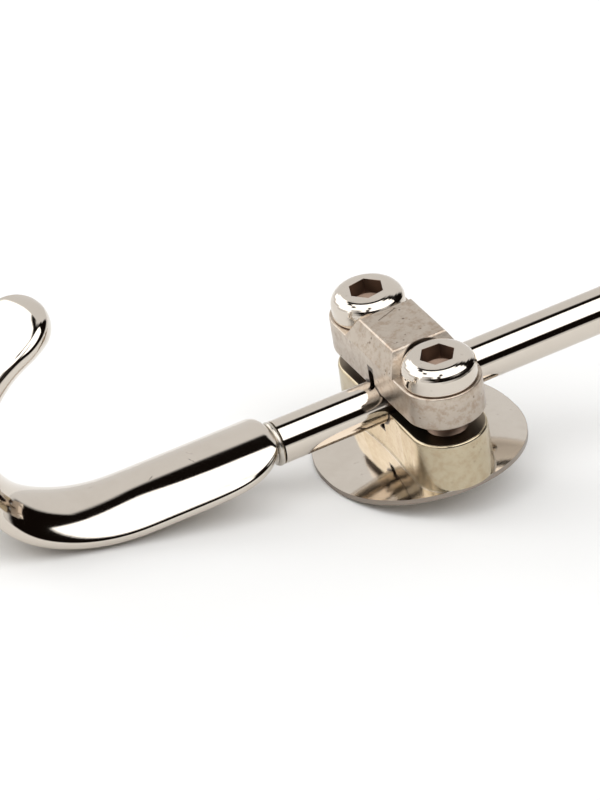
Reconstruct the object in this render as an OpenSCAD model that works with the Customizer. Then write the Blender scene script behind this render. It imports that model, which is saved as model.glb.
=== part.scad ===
// Adjustable finger hook for a brass wind instrument.
// A saddle plate is soldered to the instrument's tube. A jaw stands on the plate, a second
// jaw is screwed down on it, and the two grip a round rod that ends in a J-shaped hook.
// The origin is the crown of the saddle's underside. +X runs along the rod away from the
// hook, +Y runs from the front screw to the back screw, and +Z points out of the tube.

/* [Saddle plate] */
// Radius of the tube that the plate is bent to fit
saddle_seat_r = 65; // [35:1:120]
// Length of the plate along the tube
saddle_l = 20.7; // [20.4:0.1:26]
// Width of the plate across the tube
saddle_w = 19.9; // [16:0.1:21]
// Thickness of the plate's sheet
saddle_t = 0.5; // [0.4:0.05:1.2]

/* [Jaws] */
// Height of the lower jaw above the crown of the plate
lower_jaw_h = 4.9; // [4.4:0.1:6]
// Open gap between the clamped jaws
jaw_gap = 1.75; // [0.8:0.05:2]
// Height of the upper jaw at its two ends
upper_jaw_h = 3.5; // [3:0.1:5]
// Radius of the upper jaw's round ends, and half of its width
jaw_r = 3.8; // [3.75:0.05:4]
// Radius of the lower jaw's round ends, and half of its width
lower_jaw_r = 3.7; // [3.5:0.05:4]
// How much wider each end of the lower jaw is at its foot
foot_flare = 0.1; // [0:0.05:0.2]
// Depth of the hollow in the lower jaw's long sides
waist_depth = 0.25; // [0.1:0.05:0.6]
// Height of the raised block between the screw heads
block_h = 2.05; // [1:0.05:2.4]
// Length of the block's top along Y
block_top_l = 6.9; // [5:0.1:7.2]
// Width of the block's top along X
block_top_w = 5.7; // [4:0.1:6.4]
// How much longer the block is at its base than at its top
block_spread = 2.3; // [1:0.1:2.6]
// Radius of the broken edges of the jaws
edge_r = 0.3; // [0.1:0.05:0.4]

/* [Screws] */
// Distance between the two screws
screw_spacing = 13.9; // [13.5:0.1:14.2]
// Nominal radius of the thread, M4
thread_r = 2; // [1.5:0.5:2]
// Length of the screw under its head
screw_l = 8; // [7:0.5:9]
// Radius of the screw head
head_r = 3.5; // [3.2:0.05:3.6]
// Height of the screw head
head_h = 2.45; // [2.2:0.05:3]
// Distance across the flats of the hexagon socket
hex_af = 3; // [2.5:0.5:3]
// Depth of the hexagon socket
hex_depth = 1.5; // [1:0.1:1.8]

/* [Rod] */
// Radius of the rod
rod_r = 2.1; // [1.8:0.05:2.2]
// Depth of the rod's axis below the middle of the jaw gap
rod_drop = 0.6; // [0:0.05:0.8]
// Length of the rod on the hook's side of the clamp centre
rod_near = 14.1; // [12:0.1:20]
// Length of the rod on the far side of the clamp centre
rod_far = 30; // [15:0.5:60]

/* [Hook] */
// Width of the hook's bar
hook_w = 9.4; // [8:0.1:12]
// Height of the bar's crown above the rod's axis
crown_h = 2.5; // [2.2:0.05:3]
// Radius of the bar's crowned inner face
crown_r = 5.6; // [5:0.1:9]
// Radius of the bar's outer face
back_r = 28; // [8:0.5:40]
// Radius of the bar's rounded edges
bar_edge_r = 0.7; // [0.6:0.05:1.2]
// Distance from the clamp centre to where the bar reaches its full width
nose_full_x = 25.3; // [24:0.1:30]
// Length of the straight bar between the nose and the bend
bar_l = 3.9; // [0:0.1:12]
// Inner radius of the bend's opening part
sweep_r = 15.6; // [12:0.1:25]
// Angle that the opening part turns
sweep_turn = 32.5; // [20:0.1:60]
// Inner radius of the finger bend
finger_r = 8.2; // [7.5:0.1:12]
// Angle that the finger bend turns
finger_turn = 122.3; // [60:0.1:130]
// Length of the rounded tip
tip_l = 4.5; // [2:0.1:6]

/* [Hidden] */
$fn = 96;
eps = 0.01;
far = 40;

// Heights of the clamp's faces
plate_top = saddle_t;
lower_top = plate_top + lower_jaw_h;
upper_bottom = lower_top + jaw_gap;
seat_z = upper_bottom + upper_jaw_h;
block_top = seat_z + block_h;
rod_z = (lower_top + upper_bottom) / 2 - rod_drop;
screw_y = screw_spacing / 2;

// Fits
rod_end_r = 0.6;
groove_r = rod_r + 0.03;
slot_w = 1.0;
slot_run = 0.9;
upper_slot_run = 1.4;
tapped_r = thread_r + 0.05;
tapped_floor = plate_top + 0.9;
clearance_r = thread_r + 0.2;
counterbore_r = head_r + 0.2;
foot_r = lower_jaw_r + foot_flare;
waist_chord = 4.45;
solder_bead = 0.12;
solder_film = 0.05;
solder_gap = 0.02;
ring_rise = 0.04;

// Screws: the crest of each thread ring lies between two shares of its pitch
thread_pitch = 0.7;
thread_depth = 0.35;
thread_turns = 8;
crest_from = 0.35;
crest_to = 0.45;
screw_tip = seat_z - screw_l;
tip_chamfer = 0.3;
head_shoulder_r = 1.4;
head_under_r = 0.15;
front_hex_turn = -4;
back_hex_turn = 10;

// Nickel tones
nickel = [0.80, 0.76, 0.71];
warm_nickel = [0.78, 0.74, 0.62];
satin_nickel = [0.74, 0.70, 0.65];
solder = [0.72, 0.70, 0.66];

// Points of an arc, for outlines
function arc(centre, r, from, to, steps) =
    [for (i = [0:steps]) let (a = from + (to - from) * i / steps) centre + r * [cos(a), sin(a)]];

// Half outline of an upright column with rounded top and bottom edges
function column_outline(r_low, r_high, low, high, low_edge, high_edge) = concat(
    [[0, low]],
    arc([r_low - low_edge, low + low_edge], low_edge, -90, 0, 5),
    arc([r_high - high_edge, high - high_edge], high_edge, 0, 90, 5),
    [[0, high]]);

// Outline of a bar with rounded corners, centred on the first axis
function bar_outline(half, low, high, low_edge, high_edge) = concat(
    arc([half - low_edge, low + low_edge], low_edge, -90, 0, 5),
    arc([half - high_edge, high - high_edge], high_edge, 0, 90, 5),
    arc([-half + high_edge, high - high_edge], high_edge, 90, 180, 5),
    arc([-half + low_edge, low + low_edge], low_edge, 180, 270, 5));

module at_screws() {
    for (side = [-1, 1])
        translate([0, side * screw_y, 0]) children();
}

// Round bar along X
module x_bar(r, from, to) {
    translate([from, 0, 0]) rotate([0, 90, 0]) cylinder(r = r, h = to - from);
}

// Prism along Y from an outline in X and Z
module y_prism(points, half) {
    translate([0, half, 0]) rotate([90, 0, 0]) linear_extrude(height = 2 * half) polygon(points);
}

// Prism along X from an outline in Y and Z
module x_prism(points, half) {
    translate([-half, 0, 0]) rotate([90, 0, 90]) linear_extrude(height = 2 * half) polygon(points);
}

// Solid of the tube that the saddle sits on, grown by a thickness
module tube(grow) {
    translate([0, far, -saddle_seat_r]) rotate([90, 0, 0])
        cylinder(r = saddle_seat_r + grow, h = 2 * far, $fn = 360);
}

// Outline of the plate in plan, as a tall block
module plate_block() {
    straight = (saddle_l - saddle_w) / 2;
    for (side = [-1, 1])
        translate([0, side * straight, -far / 2]) cylinder(r = saddle_w / 2, h = far);
    translate([-saddle_w / 2, -straight, -far / 2]) cube([saddle_w, 2 * straight, far]);
}

module saddle_plate() {
    color(nickel) intersection() {
        difference() {
            tube(saddle_t);
            tube(0);
        }
        plate_block();
    }
}

// Cylinders that hollow the long sides of the lower jaw
module waist_cutters(stand_off) {
    r = (waist_chord * waist_chord + waist_depth * waist_depth) / (2 * waist_depth);
    for (side = [-1, 1])
        translate([side * (lower_jaw_r - waist_depth + r + stand_off), 0, -1])
            cylinder(r = r, h = lower_top + 2, $fn = 180);
}

// Thin film of silver solder between the foot of the jaw and the plate, with a small bead
module foot_solder() {
    film_top = plate_top + solder_film;
    half_w = lower_jaw_r + solder_bead;
    color(solder) difference() {
        intersection() {
            union() {
                at_screws() cylinder(r = foot_r + solder_bead, h = film_top);
                translate([-half_w, -screw_y, 0]) cube([2 * half_w, screw_spacing, film_top]);
            }
            tube(saddle_t + solder_film);
            plate_block();
        }
        tube(saddle_t);
        waist_cutters(solder_bead);
    }
}

// Groove for the rod and the narrow relief slot beyond it
module rod_groove(slot_end_z) {
    low = min(slot_end_z, rod_z);
    high = max(slot_end_z, rod_z);
    translate([0, 0, rod_z]) x_bar(groove_r, -jaw_r - 1, jaw_r + 1);
    translate([-jaw_r - 1, -slot_w / 2, low]) cube([2 * jaw_r + 2, slot_w, high - low]);
    translate([0, 0, slot_end_z]) x_bar(slot_w / 2, -jaw_r - 1, jaw_r + 1);
}

module lower_jaw() {
    color(warm_nickel) difference() {
        union() {
            at_screws() rotate_extrude()
                polygon(column_outline(foot_r, lower_jaw_r, 0, lower_top, eps, edge_r));
            y_prism(bar_outline(lower_jaw_r, 0, lower_top, eps, edge_r), screw_y);
        }
        tube(saddle_t + solder_film);
        waist_cutters(0);
        rod_groove(rod_z - groove_r - slot_run + slot_w / 2);
        at_screws() translate([0, 0, tapped_floor]) cylinder(r = tapped_r, h = lower_top);
    }
}

// Block between the screw heads, with sloping sides and ends
module raised_block() {
    base_l = block_top_l + block_spread;
    slope_x = (2 * jaw_r - block_top_w) / 2;
    slope_y = block_spread / 2;
    side_view = concat(
        [[jaw_r, seat_z - edge_r], [jaw_r, seat_z]],
        arc([jaw_r - slope_x - edge_r, block_top - edge_r], edge_r, 30, 90, 4),
        arc([-jaw_r + slope_x + edge_r, block_top - edge_r], edge_r, 90, 150, 4),
        [[-jaw_r, seat_z], [-jaw_r, seat_z - edge_r]]);
    end_view = concat(
        [[base_l / 2, seat_z - edge_r], [base_l / 2, seat_z]],
        arc([base_l / 2 - slope_y - edge_r, block_top - edge_r], edge_r, 30, 90, 4),
        arc([-base_l / 2 + slope_y + edge_r, block_top - edge_r], edge_r, 90, 150, 4),
        [[-base_l / 2, seat_z], [-base_l / 2, seat_z - edge_r]]);
    intersection() {
        y_prism(side_view, base_l);
        x_prism(end_view, 2 * jaw_r);
    }
}

module upper_jaw() {
    color(satin_nickel) difference() {
        union() {
            at_screws() rotate_extrude()
                polygon(column_outline(jaw_r, jaw_r, upper_bottom, seat_z, edge_r, edge_r / 2));
            y_prism(bar_outline(jaw_r, upper_bottom, seat_z, edge_r, edge_r / 2), screw_y);
            raised_block();
        }
        rod_groove(rod_z + groove_r + upper_slot_run - slot_w / 2);
        at_screws() translate([0, 0, upper_bottom - 1]) cylinder(r = clearance_r, h = far);
        at_screws() translate([0, 0, seat_z]) cylinder(r = counterbore_r, h = far);
    }
}

// Socket head cap screw, its seat at the height of the upper jaw's ends
module cap_screw() {
    root_r = thread_r - thread_depth;
    first_crest = screw_tip + tip_chamfer;
    thread_end = first_crest + thread_turns * thread_pitch;
    shank = concat(
        [[0, screw_tip], [root_r, screw_tip]],
        [for (i = [0:thread_turns - 1], p = [[0, root_r], [crest_from, thread_r], [crest_to, thread_r]])
            [p[1], first_crest + (i + p[0]) * thread_pitch]],
        [[root_r, thread_end], [thread_r, thread_end + thread_depth], [thread_r, seat_z]]);
    head = concat(
        arc([head_r - head_under_r, seat_z + head_under_r], head_under_r, -90, 0, 3),
        arc([head_r - head_shoulder_r, seat_z + head_h - head_shoulder_r], head_shoulder_r, 0, 90, 12),
        [[0, seat_z + head_h]]);
    hex_r = hex_af / 2 / cos(30);
    drill_h = hex_r / 2;
    difference() {
        rotate_extrude() polygon(concat(shank, head));
        translate([0, 0, seat_z + head_h - hex_depth]) {
            cylinder(r = hex_r, h = far, $fn = 6);
            translate([0, 0, eps - drill_h]) cylinder(r1 = 0, r2 = hex_af / 2, h = drill_h);
        }
    }
}

module front_screw() {
    color(nickel) translate([0, -screw_y, 0]) rotate(front_hex_turn) cap_screw();
}

module back_screw() {
    color(nickel) translate([0, screw_y, 0]) rotate(back_hex_turn) cap_screw();
}

module rod() {
    outline = concat(
        [[0, -rod_near], [rod_r, -rod_near]],
        arc([rod_r - rod_end_r, rod_far - rod_end_r], rod_end_r, 0, 90, 8),
        [[0, rod_far]]);
    color(nickel) translate([0, 0, rod_z]) rotate([0, 90, 0]) rotate_extrude() polygon(outline);
}

// ---- Hook ----
// The bar's cross-section is given by the direction of its outward normal, measured from the
// inner face. It can be cut down to a half width while its crown keeps its shape.
crown_steps = 8;
edge_steps = 7;
back_steps = 3;
function crown_edge(half) = asin((half - bar_edge_r) / (crown_r - bar_edge_r));
function back_edge(half) = 180 - asin((half - bar_edge_r) / (back_r - bar_edge_r));
function half_normals(half) = let (crown = crown_edge(half), back = back_edge(half)) concat(
    [for (i = [0:crown_steps]) crown * i / crown_steps],
    [for (i = [1:edge_steps]) crown + (back - crown) * i / edge_steps],
    [for (i = [1:back_steps]) back + (180 - back) * i / back_steps]);

// Point of the cut section, across and towards the inner face, for a normal direction
function bar_point(a, half) =
    let (crown = crown_edge(half), back = back_edge(half),
        lift = (crown_r - bar_edge_r) * cos(crown) - (crown_r - crown_h))
    a <= crown ? [crown_r * sin(a), crown_r * (cos(a) - 1) + crown_h]
    : a <= back ? [half - bar_edge_r + bar_edge_r * sin(a), lift + bar_edge_r * cos(a)]
    : [back_r * sin(a), back_r * cos(a) + lift + (back_r - bar_edge_r) * cos(180 - back)];

// Section between the round neck at 0 and the bar at 1; the first share is for the side of
// the crown, the second for the side of the back, and they blend around the bar's edge
blend_from = 60;
blend_to = 120;
function blended_point(a, half, shares) =
    let (t = min(1, max(0, (a - blend_from) / (blend_to - blend_from))),
        share = shares[0] + (shares[1] - shares[0]) * t * t * (3 - 2 * t))
    share * bar_point(a, half) + (1 - share) * neck_r * [sin(a), cos(a)];

// Centre line of the bar: position in X and Z, and heading above the -X direction
mid_sweep_r = sweep_r + crown_h;
mid_finger_r = finger_r + crown_h;
function on_arc(start, heading, r, turn) =
    start + r * [-sin(heading + turn) + sin(heading), cos(heading) - cos(heading + turn)];
bend_start = [-nose_full_x - bar_l, rod_z];
sweep_end = on_arc(bend_start, 0, mid_sweep_r, sweep_turn);
finger_end = on_arc(sweep_end, sweep_turn, mid_finger_r, finger_turn);
end_heading = sweep_turn + finger_turn;
tip_dir = [-cos(end_heading), sin(end_heading)];

// Nose: its outline in plan is a superellipse, and its crown turns round only near the neck
neck_r = 1.85;
ring_w = 0.7;
nose_power = 4;
crown_hold = 0.6;
back_rise = 0.4;
nose_end_x = -rod_near - ring_w;
nose_run = nose_full_x + nose_end_x;
nose_reach = nose_run / pow(1 - pow(2 * neck_r / hook_w, nose_power), 1 / nose_power);
function nose_half(x) =
    max(neck_r, hook_w / 2 * pow(1 - pow((x + nose_full_x) / nose_reach, nose_power), 1 / nose_power));
function nose_shares(x) = let (t = (nose_half(x) - neck_r) / (hook_w / 2 - neck_r))
    [1 - pow(1 - min(1, t / crown_hold), 2), pow(t, back_rise)];

// Each station: position, heading, half width, shares of the bar, width scale, depth scale
whole = [1, 1];
full_half = hook_w / 2;
nose_steps = 14;
nose_spread = 0.8;
sweep_steps = 7;
finger_steps = 20;
tip_steps = 9;
tip_last = 86;
tip_dome = 2.2;
stations = concat(
    [for (i = [0:nose_steps])
        let (x = -nose_full_x + nose_run * pow(cos(90 * i / nose_steps), nose_spread))
        [[x, rod_z], 0, nose_half(x), nose_shares(x), 1, 1]],
    [for (i = [0:sweep_steps]) let (t = sweep_turn * i / sweep_steps)
        [on_arc(bend_start, 0, mid_sweep_r, t), t, full_half, whole, 1, 1]],
    [for (i = [1:finger_steps]) let (t = finger_turn * i / finger_steps)
        [on_arc(sweep_end, sweep_turn, mid_finger_r, t), sweep_turn + t, full_half, whole, 1, 1]],
    [for (i = [1:tip_steps])
        let (u = sin(tip_last * i / tip_steps), v = max(0, 1 - (1 - u) * tip_dome))
        [finger_end + tip_dir * tip_l * u, end_heading, full_half, whole,
            sqrt(1 - u * u), sqrt(1 - v * v)]]);

function side_points(s) = [for (a = half_normals(s[2]))
    let (p = blended_point(a, s[2], s[3])) [p[0] * s[4], p[1] * s[5]]];
function station_points(s) =
    let (side = side_points(s), last = len(side) - 1,
        loop = concat(side, [for (i = [last - 1:-1:1]) [-side[i][0], side[i][1]]]))
    [for (p = loop) [s[0][0] + sin(s[1]) * p[1], p[0], s[0][1] + cos(s[1]) * p[1]]];

module hook() {
    count = 2 * (crown_steps + edge_steps + back_steps);
    last = len(stations) - 1;
    points = [for (s = stations) each station_points(s)];
    sides = [for (k = [0:last - 1], i = [0:count - 1]) let (j = (i + 1) % count)
        [k * count + i, (k + 1) * count + i, (k + 1) * count + j, k * count + j]];
    color(nickel) polyhedron(points, concat(
        sides,
        [[for (i = [0:count - 1]) i]],
        [[for (i = [count - 1:-1:0]) last * count + i]]), convexity = 6);
}

// Bead of silver solder that joins the rod to the hook's nose
module hook_solder_ring() {
    bead_r = ring_w / 2 - solder_gap;
    middle = -rod_near - ring_w / 2;
    outline = concat(
        [[0, middle - bead_r]],
        arc([rod_r + ring_rise - bead_r, middle], bead_r, -90, 90, 12),
        [[0, middle + bead_r]]);
    color(solder) translate([0, 0, rod_z]) rotate([0, 90, 0]) rotate_extrude() polygon(outline);
}

saddle_plate();
foot_solder();
lower_jaw();
upper_jaw();
front_screw();
back_screw();
rod();
hook();
hook_solder_ring();
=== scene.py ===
import math

import bmesh
import bpy
import numpy as np
from mathutils import Matrix, Vector


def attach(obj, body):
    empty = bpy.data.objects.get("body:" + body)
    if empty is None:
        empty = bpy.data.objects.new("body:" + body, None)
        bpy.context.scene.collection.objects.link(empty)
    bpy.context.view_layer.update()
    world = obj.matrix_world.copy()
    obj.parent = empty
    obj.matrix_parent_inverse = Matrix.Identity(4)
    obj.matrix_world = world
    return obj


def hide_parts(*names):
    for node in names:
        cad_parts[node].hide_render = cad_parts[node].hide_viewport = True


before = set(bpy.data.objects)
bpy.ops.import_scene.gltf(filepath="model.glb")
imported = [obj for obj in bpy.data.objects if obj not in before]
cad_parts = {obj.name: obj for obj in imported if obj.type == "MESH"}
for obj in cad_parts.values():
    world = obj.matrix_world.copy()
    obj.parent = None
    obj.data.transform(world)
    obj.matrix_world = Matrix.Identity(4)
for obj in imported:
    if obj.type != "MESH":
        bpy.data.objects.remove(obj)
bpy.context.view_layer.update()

MM = 0.001
scene = bpy.context.scene

# ---------------------------------------------------------------- camera
# its axes and its place in the CAD frame, in metres
SENSOR, LENS = 36, 231.9
RIGHT = Vector((0.88027, -0.45370, -0.13887))
UP = Vector((0.35895, 0.44538, 0.82023))
BACK = Vector((-0.31029, -0.77187, 0.55491))
EYE = Vector((-0.15709, -0.36308, 0.27015))


def make_camera():
    data = bpy.data.cameras.new("camera")
    data.type = "PERSP"
    data.sensor_width = SENSOR
    data.lens = LENS
    data.clip_start = 0.01
    data.clip_end = 20
    cam = bpy.data.objects.new("camera", data)
    scene.collection.objects.link(cam)
    turn = Matrix((RIGHT, UP, BACK)).transposed().to_4x4()
    cam.matrix_world = Matrix.Translation(EYE) @ turn
    scene.camera = cam


# ---------------------------------------------------------------- node helpers
class Net:
    """Small helper that adds and links shader nodes."""

    def __init__(self, tree):
        self.tree = tree
        self.n = tree.nodes
        self.l = tree.links

    def node(self, kind, **settings):
        made = self.n.new(kind)
        for key, value in settings.items():
            setattr(made, key, value)
        return made

    def put(self, socket, value):
        if isinstance(value, bpy.types.NodeSocket):
            self.l.new(value, socket)
        else:
            socket.default_value = value

    def math(self, op, a, b=0.0, c=0.0, clamp=False):
        m = self.node("ShaderNodeMath", operation=op, use_clamp=clamp)
        for socket, value in zip(m.inputs, (a, b, c)):
            self.put(socket, value)
        return m.outputs[0]

    def vec(self, op, a, b=(0, 0, 0)):
        m = self.node("ShaderNodeVectorMath", operation=op)
        self.put(m.inputs[0], a)
        self.put(m.inputs[1], b)
        return m

    def noise(self, coord, scale, detail=3.0, rough=0.55, distort=0.0):
        t = self.node("ShaderNodeTexNoise")
        self.put(t.inputs["Vector"], coord)
        t.inputs["Scale"].default_value = scale
        t.inputs["Detail"].default_value = detail
        t.inputs["Roughness"].default_value = rough
        t.inputs["Distortion"].default_value = distort
        return t.outputs["Fac"]

    def span(self, value, low, high, to_low=0.0, to_high=1.0, smooth=True):
        m = self.node("ShaderNodeMapRange")
        m.interpolation_type = "SMOOTHSTEP" if smooth else "LINEAR"
        self.put(m.inputs[0], value)
        for i, v in enumerate((low, high, to_low, to_high)):
            self.put(m.inputs[i + 1], v)
        return m.outputs[0]

    def mix(self, fac, a, b):
        m = self.node("ShaderNodeMix", data_type="RGBA")
        self.put(m.inputs["Factor"], fac)
        for name, value in (("A", a), ("B", b)):
            sock = [s for s in m.inputs if s.name == name and s.type == "RGBA"][0]
            self.put(sock, value)
        return [s for s in m.outputs if s.type == "RGBA"][0]


def rgba(r, g, b):
    return (r, g, b, 1.0)


# ---------------------------------------------------------------- floor
FLOOR_SIZE, FLOOR_CELLS = 1.6, 24
FLOOR_TONES = ((0.86, 0.86, 0.853), (0.89, 0.89, 0.883))
HULL_END = -0.008  # the hull edge between the hook and the plate ends left of this X


def resting_plane():
    """Normal and a point of the table: the lower hull edge, in X and Z, under the hook and the plate."""
    pts = []
    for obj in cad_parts.values():
        co = np.empty(len(obj.data.vertices) * 3)
        obj.data.vertices.foreach_get("co", co)
        co = co.reshape(-1, 3)
        pts.append(co[:, [0, 2]])
    pts = np.unique(np.round(np.vstack(pts), 6), axis=0)
    pts = pts[np.lexsort((pts[:, 1], pts[:, 0]))]
    hull = []
    for p in pts:
        while len(hull) > 1:
            a, b = hull[-2], hull[-1]
            if (b[0] - a[0]) * (p[1] - a[1]) - (b[1] - a[1]) * (p[0] - a[0]) <= 0:
                hull.pop()
            else:
                break
        hull.append(p)
    edges = [(a, b) for a, b in zip(hull, hull[1:]) if b[0] < HULL_END]
    a, b = max(edges, key=lambda e: e[1][0] - e[0][0])
    along = np.array([b[0] - a[0], b[1] - a[1]])
    along /= np.linalg.norm(along)
    return Vector((-along[1], 0, along[0])), Vector((b[0], 0, b[1]))


def make_floor(normal, point):
    mesh = bpy.data.meshes.new("floor")
    across = Vector((0, 1, 0))
    along = across.cross(normal).normalized()
    n = FLOOR_CELLS
    verts, faces = [], []
    for i in range(n + 1):
        for j in range(n + 1):
            u, v = (i / n - 0.5) * FLOOR_SIZE, (j / n - 0.5) * FLOOR_SIZE
            verts.append(point + along * u + across * v)
    for i in range(n):
        for j in range(n):
            k = i * (n + 1) + j
            faces.append((k, k + n + 1, k + n + 2, k + 1))
    mesh.from_pydata([tuple(v) for v in verts], [], faces)
    obj = bpy.data.objects.new("floor", mesh)
    scene.collection.objects.link(obj)
    mat = bpy.data.materials.new("pale_table")
    mat.use_nodes = True
    net = Net(mat.node_tree)
    bsdf = net.n["Principled BSDF"]
    coord = net.node("ShaderNodeTexCoord").outputs["Object"]
    shade = net.noise(coord, 6.0, 2.0)
    net.put(bsdf.inputs["Base Color"], net.mix(shade, *[rgba(*tone) for tone in FLOOR_TONES]))
    bsdf.inputs["Roughness"].default_value = 0.9
    bsdf.inputs["Specular IOR Level"].default_value = 0.1
    obj.data.materials.append(mat)


# ---------------------------------------------------------------- world
BACKDROP, BACKDROP_TOP = (0.86, 0.855, 0.85), 1.04
ROOM = (0.006, 0.004, 0.003)
SOFTBOX = (2.2, 2.2, 2.2)
CAMERA_TONE = (0.05, 0.04, 0.035)
BELOW_TABLE = (0.7, 0.7, 0.7)
SEEN_BACKDROP = (0.985, 0.985, 0.985)
FROM_START = (-999, -998)
SLANT = 0.32
# What the metal reflects, from the back layer to the front one: a tone and the regions that have
# it. A region fades in between its first two angles and out between the next two, in degrees.
# Height is above the table, azimuth is 0 towards the camera and grows to its right, turn runs
# from the front over the top to the back, and slant is azimuth plus a share of the height.
LAYERS = (
    # dark room in front, under the soft box
    (ROOM, ({"azimuth": (-58, -28, 112, 126), "height": (3, 9, 36, 38)},)),
    # dark strip between the soft box and the backdrop, and the dark corner at its right end
    (ROOM, ({"turn": (98, 100, 112, 119), "height": (20, 26)},
            {"turn": (98, 100), "azimuth": (60, 80), "slant": (*FROM_START, 139, 146), "height": (2, 7)})),
    # large soft box over the camera
    (SOFTBOX, ({"height": (33, 38), "turn": (*FROM_START, 96, 100.5)},)),
    # white card at the back left, with a dark edge above it
    (SOFTBOX, ({"azimuth": (-144, -141, -62, -59), "height": (9, 12, 45, 47)},)),
    (ROOM, ({"azimuth": (-144, -141, -62, -59), "height": (46, 48, 51, 54)},)),
    # the camera itself, seen in the screws
    (CAMERA_TONE, ({"azimuth": (-20, -16, -8, -4), "height": (8, 12, 66, 72)},)),
)


def region_mask(net, angles, region):
    """1 inside a region of LAYERS, and 0 outside it."""
    mask = None
    for name, edges in region.items():
        part = net.span(angles[name], *edges[:2])
        if len(edges) > 2:
            part = net.math("MULTIPLY", part, net.span(angles[name], *edges[2:], 1, 0))
        mask = part if mask is None else net.math("MULTIPLY", mask, part)
    return mask


def make_world(up):
    """Studio: pale backdrop, dark room, and a soft box and a white card with their dark surrounds."""
    front = (BACK - up * BACK.dot(up)).normalized()
    side = front.cross(up) * -1
    if side.dot(RIGHT) < 0:
        side = -side
    world = bpy.data.worlds.new("studio")
    scene.world = world
    world.use_nodes = True
    net = Net(world.node_tree)
    net.n.clear()
    d = net.vec("NORMALIZE", net.node("ShaderNodeTexCoord").outputs["Generated"]).outputs["Vector"]

    def dot(v):
        return net.vec("DOT_PRODUCT", d, tuple(v)).outputs["Value"]

    def degrees(op, *values):
        return net.math("MULTIPLY", net.math(op, *values), 180 / math.pi)

    above, ahead, beside = dot(up), dot(front), dot(side)
    angles = {"turn": degrees("ARCTAN2", above, ahead), "height": degrees("ARCSINE", above),
              "azimuth": degrees("ARCTAN2", beside, ahead)}
    angles["slant"] = net.math("MULTIPLY_ADD", angles["height"], SLANT, angles["azimuth"])
    # the backdrop is a little brighter high up
    colour = net.mix(net.span(angles["height"], 0, 70),
                     rgba(*BACKDROP), rgba(*[c * BACKDROP_TOP for c in BACKDROP]))
    for tone, regions in LAYERS:
        mask = region_mask(net, angles, regions[0])
        for region in regions[1:]:
            mask = net.math("MAXIMUM", mask, region_mask(net, angles, region))
        colour = net.mix(mask, colour, rgba(*tone))
    colour = net.mix(net.span(above, -0.02, 0.0), rgba(*BELOW_TABLE), colour)
    studio = net.node("ShaderNodeBackground")
    net.put(studio.inputs["Color"], colour)
    studio.inputs["Strength"].default_value = 1.0
    plain = net.node("ShaderNodeBackground")
    plain.inputs["Color"].default_value = rgba(*SEEN_BACKDROP)
    pick = net.node("ShaderNodeMixShader")
    net.put(pick.inputs[0], net.node("ShaderNodeLightPath").outputs["Is Camera Ray"])
    net.l.new(studio.outputs[0], pick.inputs[1])
    net.l.new(plain.outputs[0], pick.inputs[2])
    out = net.node("ShaderNodeOutputWorld")
    net.l.new(pick.outputs[0], out.inputs["Surface"])


# ---------------------------------------------------------------- materials
# places on the part, in millimetres
SCREW_Y, HEAD_TOP, SEAT_Z, LOWER_TOP, UPPER_BOTTOM = 6.95, 13.1, 10.65, 5.4, 7.15
PLATE_R, PLATE_STRAIGHT = 9.95, 0.4
ROD_Z, SEAT_R = 5.675, 2.34
SLOT_HALF, UPPER_SLOT_TOP, LOWER_SLOT = 0.54, 9.65, (2.5, 4.0)
SOCKET_R, BORE_R, HOLE_R = 1.80, (3.60, 3.76), 2.3
BLOCK_TOP = 12.7
BEND_FROM, BEND_RATE = 4.5, -1.9
# sizes of the surface's grain, in repeats to the metre, and the bump's unit of height in metres
PATCHES, CLOUD, FINE, SPECKS, SPECK_GROUPS = 260.0, 1300.0, 4200.0, 1500.0, 700.0
HAIRLINES = (300.0, 2600.0, 2600.0)
BUMP_UNIT = 0.00001
# tones of the stains, specks and marks, as shares of the dirt's tone
STAIN, SPECK, MARK = (0.80, 0.66, 0.55), (0.25, 0.18, 0.14), (0.4, 0.36, 0.32)
DARK_ROUGH = 0.42


class Place:
    """Masks from the position on the part, in millimetres in the CAD frame."""

    def __init__(self, net, coord):
        self.net = net
        self.p = net.vec("SCALE", coord)
        self.p.inputs["Scale"].default_value = 1000.0
        self.p = self.p.outputs["Vector"]
        split = net.node("ShaderNodeSeparateXYZ")
        net.put(split.inputs[0], self.p)
        self.x, self.y, self.z = split.outputs
        self.ay = net.math("ABSOLUTE", self.y)

    def below(self, value, limit, soft=0.03):
        return self.net.span(value, limit - soft, limit + soft, 1, 0)

    def above(self, value, limit, soft=0.03):
        return self.net.span(value, limit - soft, limit + soft)

    def both(self, *masks):
        value = masks[0]
        for mask in masks[1:]:
            value = self.net.math("MULTIPLY", value, mask)
        return value

    def either(self, *masks):
        value = masks[0]
        for mask in masks[1:]:
            value = self.net.math("MAXIMUM", value, mask)
        return value

    def radius(self, a, a0, b, b0):
        net = self.net
        da, db = net.math("SUBTRACT", a, a0), net.math("SUBTRACT", b, b0)
        return net.math("SQRT", net.math("MULTIPLY_ADD", da, da, net.math("MULTIPLY", db, db)))

    def scratch(self, a, b, half):
        """1 on a thin straight mark from a to b, fading at its ends."""
        net = self.net
        a, b = Vector(a), Vector(b)
        run = b - a
        rel = net.vec("SUBTRACT", self.p, tuple(a)).outputs["Vector"]
        along = net.vec("DOT_PRODUCT", rel, tuple(run / run.length_squared)).outputs["Value"]
        foot = net.vec("SCALE", tuple(run))
        net.put(foot.inputs["Scale"], net.math("MINIMUM", net.math("MAXIMUM", along, 0.0), 1.0))
        off = net.vec("SUBTRACT", rel, foot.outputs["Vector"]).outputs["Vector"]
        gap = net.vec("LENGTH", off).outputs["Value"]
        return net.span(gap, half * 0.4, half * 1.3, 1, 0)


def shaded(tone, shares):
    return rgba(*[c * share for c, share in zip(tone, shares)])


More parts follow.
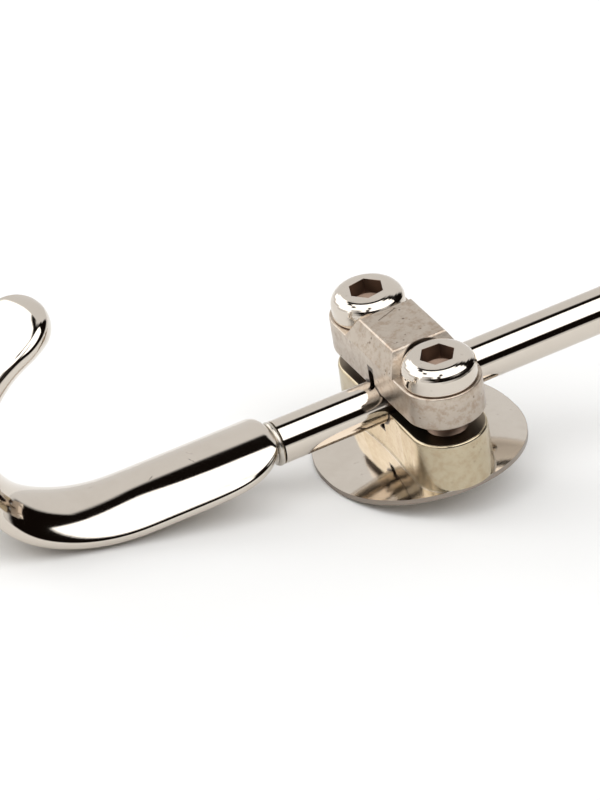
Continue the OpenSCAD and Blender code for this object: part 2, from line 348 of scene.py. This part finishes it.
def metal(name, base, dirt, rough, spread, grain=0.0, mottle=0.25, speck=0.0, scratches=0.0,
          blotch=0.0, dark=None, painted_shade_tone=(0.10, 0.075, 0.06), marks=None, shape=None):
    """Plated metal: tone and gloss vary in soft patches, with fine hairlines and specks, and a mask can
    paint shade on it.
    """
    mat = bpy.data.materials.new(name)
    mat.use_nodes = True
    net = Net(mat.node_tree)
    bsdf = net.n["Principled BSDF"]
    coord = net.node("ShaderNodeTexCoord").outputs["Object"]
    place = Place(net, coord)
    patches = net.noise(coord, PATCHES, 4.0, 0.6, 0.4)
    cloud = net.noise(coord, CLOUD, 5.0, 0.7)
    fine = net.noise(coord, FINE, 3.0, 0.6)
    tone = net.span(patches, 0.35, 0.75)
    colour = net.mix(net.math("MULTIPLY", tone, mottle), rgba(*base), rgba(*dirt))
    level = net.math("MULTIPLY_ADD", patches, spread, rough - spread / 2)
    level = net.math("SUBTRACT", level, spread * 0.3)
    level = net.math("MULTIPLY_ADD", fine, spread * 0.6, level, clamp=True)
    if blotch:
        stain = net.span(cloud, 0.42, 0.66)
        colour = net.mix(net.math("MULTIPLY", stain, blotch), colour, shaded(dirt, STAIN))
    if speck:
        spots = net.node("ShaderNodeTexVoronoi")
        net.put(spots.inputs["Vector"], coord)
        spots.inputs["Scale"].default_value = SPECKS
        pick = net.math("MULTIPLY", net.span(spots.outputs["Distance"], 0.12, 0.26, 1, 0),
                        net.span(net.noise(coord, SPECK_GROUPS, 2.0), 0.54, 0.62))
        colour = net.mix(net.math("MULTIPLY", pick, speck), colour, shaded(dirt, SPECK))
    height = net.math("MULTIPLY", fine, grain)
    if blotch:
        height = net.math("MULTIPLY_ADD", cloud, grain * 1.6, height)
    if marks:
        mark = marks(place)
        colour = net.mix(net.math("MULTIPLY", mark, 0.75), colour, shaded(dirt, MARK))
        height = net.math("MULTIPLY_ADD", mark, -2.0, height)
    # painted shade: where the dark mask is set, the colour turns to the shade tone and the surface gets
    # rougher
    if dark:
        shadow = dark(place)
        colour = net.mix(shadow, colour, rgba(*painted_shade_tone))
        level = net.math("MAXIMUM", level, net.math("MULTIPLY", shadow, DARK_ROUGH))
    net.put(bsdf.inputs["Base Color"], colour)
    bsdf.inputs["Metallic"].default_value = 1.0
    net.put(bsdf.inputs["Roughness"], level)
    stretch = net.node("ShaderNodeMapping")
    net.put(stretch.inputs["Vector"], coord)
    stretch.inputs["Scale"].default_value = HAIRLINES
    hair = net.noise(stretch.outputs[0], 1.0, 2.0, 0.5)
    height = net.math("MULTIPLY_ADD", hair, scratches, height)
    if shape:
        height = net.math("ADD", height, shape(place))
    bump = net.node("ShaderNodeBump")
    bump.inputs["Strength"].default_value = 1.0
    bump.inputs["Distance"].default_value = BUMP_UNIT
    net.put(bump.inputs["Height"], height)
    net.put(bsdf.inputs["Normal"], bump.outputs["Normal"])
    return mat


def screw_painted_shade(m):
    """Painted shade in the socket, on the line where the head sits, and on the shank."""
    r = m.radius(m.x, 0.0, m.ay, SCREW_Y)
    socket = m.both(m.below(r, SOCKET_R), m.below(m.z, HEAD_TOP - 0.05, 0.02), m.above(m.z, SEAT_Z + 0.1))
    return m.either(socket, m.below(m.z, SEAT_Z + 0.12, 0.05))


# painted shade in the jaws around the rod, a ring reaching a little past the seat's groove
def rod_seat_shade(m):
    return m.below(m.radius(m.y, 0.0, m.z, ROD_Z), SEAT_R, 0.08)


def upper_jaw_painted_shade(m):
    """Painted shade in the relief slot, the rod's seat, on the underside, the walls by the heads and in the
    holes; the jaw is also a little darker towards the bottom.
    """
    slot = m.both(m.below(m.ay, SLOT_HALF), m.below(m.z, UPPER_SLOT_TOP), m.above(m.z, UPPER_BOTTOM - 0.1))
    r = m.radius(m.x, 0.0, m.ay, SCREW_Y)
    bore = m.both(m.below(r, BORE_R[1]), m.above(r, BORE_R[0]), m.above(m.z, SEAT_Z + 0.04))
    under = m.below(m.z, UPPER_BOTTOM + 0.05)
    foot = m.net.math("MULTIPLY", m.below(m.z, 9.5, 1.5), 0.2)
    return m.either(slot, rod_seat_shade(m), under, m.net.math("MULTIPLY", bore, 0.8), m.below(r, HOLE_R), foot)


def lower_jaw_painted_shade(m):
    """Painted shade in the relief slot, the rod's seat and on the top face, which lies in the gap between
    the jaws.
    """
    slot = m.both(m.below(m.ay, SLOT_HALF), m.below(m.z, LOWER_SLOT[1]), m.above(m.z, LOWER_SLOT[0]))
    top = m.net.math("MULTIPLY", m.above(m.z, LOWER_TOP - 0.02, 0.015), 0.75)
    return m.either(slot, rod_seat_shade(m), top)


def jaw_marks(m):
    """Three scratches on top of the raised block."""
    return m.either(m.scratch((-1.35, 1.95, BLOCK_TOP), (0.7, 2.75, BLOCK_TOP), 0.07),
                    m.scratch((-0.2, 2.9, BLOCK_TOP), (1.3, 2.6, BLOCK_TOP), 0.03),
                    m.scratch((-2.4, -1.2, BLOCK_TOP), (-1.9, -2.6, BLOCK_TOP), 0.03))


def hook_marks(m):
    """Light wear on the crown of the bar."""
    return m.net.math("MULTIPLY", m.either(
        m.scratch((-23.5, 0.4, 8.1), (-22.8, -1.2, 8.1), 0.05),
        m.scratch((-22.9, 0.7, 8.2), (-22.2, -0.6, 8.1), 0.04),
        m.scratch((-27.6, -1.3, 8.1), (-26.9, -0.9, 8.1), 0.05),
        m.scratch((-32.9, 0.4, 8.5), (-32.1, 0.6, 8.5), 0.06)), 0.55)


def rim_painted_shade(m):
    """The plate's cut edge is painted darker than its faces: a painted reflection of the shaded table under
    it.
    """
    past = m.net.math("MAXIMUM", m.net.math("SUBTRACT", m.ay, PLATE_STRAIGHT), 0.0)
    return m.net.math("MULTIPLY", m.above(m.radius(m.x, 0.0, past, 0.0), PLATE_R - 0.03, 0.02), 0.8)


def plate_bend(m):
    """The plate is bent a little further towards the side away from the hook, in bump units."""
    past = m.net.math("MAXIMUM", m.net.math("SUBTRACT", m.x, BEND_FROM), 0.0)
    return m.net.math("MULTIPLY", m.net.math("MULTIPLY", past, past), BEND_RATE)


def dress(obj, mat):
    obj.data.materials.clear()
    obj.data.materials.append(mat)


# ---------------------------------------------------------------- smooth hook
# sizes of the solid hook, in millimetres and degrees
HOOK_W, CROWN_H, CROWN_R, BACK_R, EDGE_R = 9.4, 2.5, 5.6, 28.0, 0.7
NOSE_FULL, NOSE_END, NECK_R = 25.3, 14.8, 1.85
NOSE_POWER, CROWN_HOLD, BACK_RISE, NOSE_SPREAD = 4.0, 0.6, 0.4, 0.8
BAR_L, SWEEP_R, SWEEP, FINGER_R, FINGER, TIP_L = 3.9, 15.6, 32.5, 8.2, 122.3, 4.5
TIP_LAST, TIP_DOME = 89.0, 2.2
# the flatter near flank: where it rises, stands highest and ends, as directions of the bar's
# outward normal, its height over the plain crown, and where along -X it starts and is whole
FLANK, FLANK_RISE = (16, 37, 52), 0.15
FLAT_FROM, FLAT_TO, FLAT_HEADING = 33.0, 22.0, 0.5
CROWN_POINTS, EDGE_POINTS, BACK_POINTS = 30, 22, 8
NOSE_STEPS, BAR_STEPS, SWEEP_STEPS, FINGER_STEPS, TIP_STEPS = 80, 14, 40, 110, 40
EASE_PASSES, EASE_WINDOW, EASE_START, EASE_END = 30, 17, 60, 46
BLEND_FROM = math.pi / 3


def smooth_step(t):
    t = np.clip(t, 0, 1)
    return t * t * (3 - 2 * t)


def hook_section(half, flat):
    """The bar's section cut down to a half width, and the neck's section and the direction of the
    outward normal, point by point."""
    reach = half - EDGE_R
    crown = math.asin(reach / (CROWN_R - EDGE_R))
    back = math.pi - math.asin(reach / (BACK_R - EDGE_R))
    lift = (CROWN_R - EDGE_R) * math.cos(crown) - (CROWN_R - CROWN_H)
    back_z = lift + (BACK_R - EDGE_R) * math.cos(math.pi - back)
    angles = np.concatenate([np.linspace(0, crown, CROWN_POINTS), np.linspace(crown, back, EDGE_POINTS)[1:],
                             np.linspace(back, math.pi, BACK_POINTS)[1:]])
    full = []
    for a in angles:
        if a <= crown:
            full.append((CROWN_R * math.sin(a), CROWN_R * (math.cos(a) - 1) + CROWN_H))
        elif a <= back:
            full.append((reach + EDGE_R * math.sin(a), lift + EDGE_R * math.cos(a)))
        else:
            full.append((BACK_R * math.sin(a), BACK_R * math.cos(a) + back_z))
    full = np.array(full)
    normals = np.stack([np.sin(angles), np.cos(angles)], 1)
    mirror = np.array([-1, 1])
    # the near flank of the crown is ground flatter, so it stands a little proud of the arc
    at = np.degrees(angles)
    rise = flat * FLANK_RISE * smooth_step((at - FLANK[0]) / (FLANK[1] - FLANK[0]))
    rise = rise * (1 - smooth_step((at - FLANK[1]) / (FLANK[2] - FLANK[1])))
    near = (full + rise[:, None] * normals)[-2:0:-1] * mirror
    neck = NECK_R * normals
    return (np.vstack([full, near]), np.vstack([neck, neck[-2:0:-1] * mirror]),
            np.concatenate([angles, angles[-2:0:-1]]))


def hook_stations():
    """For each section: its centre, heading, half width, the shares of the bar against the neck on
    the side of the crown and of the back, and its width and depth scales."""
    out = []
    half = HOOK_W / 2
    reach = (NOSE_FULL - NOSE_END) / (1 - (NECK_R / half) ** NOSE_POWER) ** (1 / NOSE_POWER)
    for u in np.linspace(0, 1, NOSE_STEPS):
        x = -NOSE_FULL + (NOSE_FULL - NOSE_END) * math.sin(math.pi / 2 * (1 - u)) ** NOSE_SPREAD
        wide = half * max(0, 1 - ((x + NOSE_FULL) / reach) ** NOSE_POWER) ** (1 / NOSE_POWER)
        t = min(1, max(0, (wide - NECK_R) / (half - NECK_R)))
        top = 1 - (1 - min(1, t / CROWN_HOLD)) ** 2
        out.append(((x, ROD_Z), 0, max(wide, NECK_R), (top, t ** BACK_RISE), 1, 1))
    pos, head = np.array([-NOSE_FULL, ROD_Z]), 0.0
    whole = (1, 1)
    for length, radius, turn, steps in ((BAR_L, 0, 0, BAR_STEPS), (0, SWEEP_R + CROWN_H, SWEEP, SWEEP_STEPS),
                                        (0, FINGER_R + CROWN_H, FINGER, FINGER_STEPS)):
        start, first = pos, head
        for i in range(1, steps + 1):
            t = i / steps
            if length:
                pos = start + np.array([-length * t, 0])
            else:
                head = first + math.radians(turn) * t
                pos = start + radius * np.array([math.sin(first) - math.sin(head),
                                                 math.cos(first) - math.cos(head)])
            out.append((tuple(pos), head, half, whole, 1, 1))
    ahead = np.array([-math.cos(head), math.sin(head)])
    for i in range(1, TIP_STEPS + 1):
        u = math.sin(math.radians(TIP_LAST * i / TIP_STEPS))
        v = max(0.0, 1 - (1 - u) * TIP_DOME)
        out.append((tuple(pos + ahead * TIP_L * u), head, half, whole,
                    math.sqrt(1 - u * u), math.sqrt(1 - v * v)))
    return out


def hook_rings():
    """Points of the sections in millimetres, with the joins between the arcs eased."""
    rings = []
    for (x, z), head, half, (crown, back), kx, kz in hook_stations():
        flat = smooth_step((x + FLAT_FROM) / (FLAT_FROM - FLAT_TO)) if head < FLAT_HEADING else 0
        full, neck, angles = hook_section(half, flat)
        share = (crown + (back - crown) * smooth_step(angles / BLEND_FROM - 1))[:, None]
        across, depth = (share * full + (1 - share) * neck).T
        across, depth = across * kx, depth * kz
        rings.append(np.stack([x + math.sin(head) * depth, across, z + math.cos(head) * depth], 1))
    pts = np.array(rings)
    weight = np.zeros(len(pts))
    weight[EASE_START:-EASE_END] = 1
    weight = np.pad(weight, EASE_WINDOW // 2, mode="edge")
    weight = np.convolve(weight, np.ones(EASE_WINDOW) / EASE_WINDOW, "valid")[:, None, None]
    for _ in range(EASE_PASSES):
        mid = pts.copy()
        mid[1:-1] = (pts[:-2] + 2 * pts[1:-1] + pts[2:]) / 4
        pts = pts + weight * (mid - pts)
    return pts


def smooth_hook():
    """Smooth mesh that stands in for the faceted solid hook, fitted to its box."""
    pts = hook_rings()
    rows, cols = pts.shape[:2]
    verts = pts.reshape(-1, 3) * MM
    faces = []
    for k in range(rows - 1):
        here, there = k * cols, (k + 1) * cols
        for i in range(cols):
            j = (i + 1) % cols
            faces.append((here + i, here + j, there + j, there + i))
    faces.append(tuple(range(cols - 1, -1, -1)))
    faces.append(tuple((rows - 1) * cols + i for i in range(cols)))
    solid = np.empty(len(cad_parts["hook"].data.vertices) * 3)
    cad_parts["hook"].data.vertices.foreach_get("co", solid)
    solid = solid.reshape(-1, 3)
    lo, hi = solid.min(0), solid.max(0)
    a, b = verts.min(0), verts.max(0)
    verts = lo + (verts - a) * (hi - lo) / (b - a)
    mesh = bpy.data.meshes.new("hook_smooth")
    mesh.from_pydata([tuple(v) for v in verts], [], faces)
    mesh.update()
    for poly in mesh.polygons[:-2]:
        poly.use_smooth = True
    bm = bmesh.new()
    bm.from_mesh(mesh)
    bmesh.ops.recalc_face_normals(bm, faces=bm.faces[:])
    bm.to_mesh(mesh)
    bm.free()
    piece = bpy.data.objects.new("hook_smooth", mesh)
    scene.collection.objects.link(piece)
    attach(piece, "finger_piece")
    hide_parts("hook")
    return piece


# ---------------------------------------------------------------- scene
NICKEL = (0.66, 0.60, 0.53)
make_camera()
up, rest_point = resting_plane()
make_floor(up, rest_point)
make_world(up)

polished = metal("polished_nickel", NICKEL, (0.58, 0.52, 0.45), 0.06, 0.05, 0.12, 0.3, 0.0, 0.15)
bar = metal("hook_nickel", NICKEL, (0.58, 0.52, 0.45), 0.06, 0.05, 0.12, 0.3, 0.0, 0.15, marks=hook_marks)
# the plate's cut edge gets a painted reflection of the shaded table, in the darker tone given below
sheet = metal("plate_nickel", NICKEL, (0.56, 0.50, 0.43), 0.08, 0.05, 0.15, 0.4, 0.15, 0.2, shape=plate_bend,
              dark=rim_painted_shade, painted_shade_tone=(0.22, 0.18, 0.15))
# the lower jaw gets painted shade in its slot, its seat and on its top face in the gap
warm = metal("warm_nickel", (0.53, 0.455, 0.325), (0.45, 0.38, 0.265), 0.24, 0.10, 0.5, 0.5, 0.25, 0.4,
             blotch=0.35, dark=lower_jaw_painted_shade)
# the upper jaw gets painted shade in its slot, seat, underside, bores and holes
satin = metal("satin_nickel", (0.56, 0.49, 0.415), (0.44, 0.375, 0.31), 0.32, 0.14, 0.8, 0.5, 0.75, 0.5,
              blotch=0.6, dark=upper_jaw_painted_shade, marks=jaw_marks)
# the screws get painted shade in their sockets, at the heads' seat and on the shanks
screw = metal("screw_nickel", NICKEL, (0.57, 0.51, 0.44), 0.09, 0.06, 0.15, 0.3, 0.1, 0.15, dark=screw_painted_shade,
              painted_shade_tone=(0.24, 0.17, 0.13))
solder = metal("buffed_solder", (0.58, 0.54, 0.48), (0.44, 0.40, 0.35), 0.25, 0.12, 0.6, 0.5, 0.3, 0.3)
LOOKS = {
    "saddle_plate": sheet, "foot_solder": solder, "lower_jaw": warm, "upper_jaw": satin,
    "front_screw": screw, "back_screw": screw, "rod": polished, "hook": bar,
    "hook_solder_ring": solder,
}
for name, mat in LOOKS.items():
    dress(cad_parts[name], mat)
dress(smooth_hook(), bar)

scene.view_settings.view_transform = "Standard"
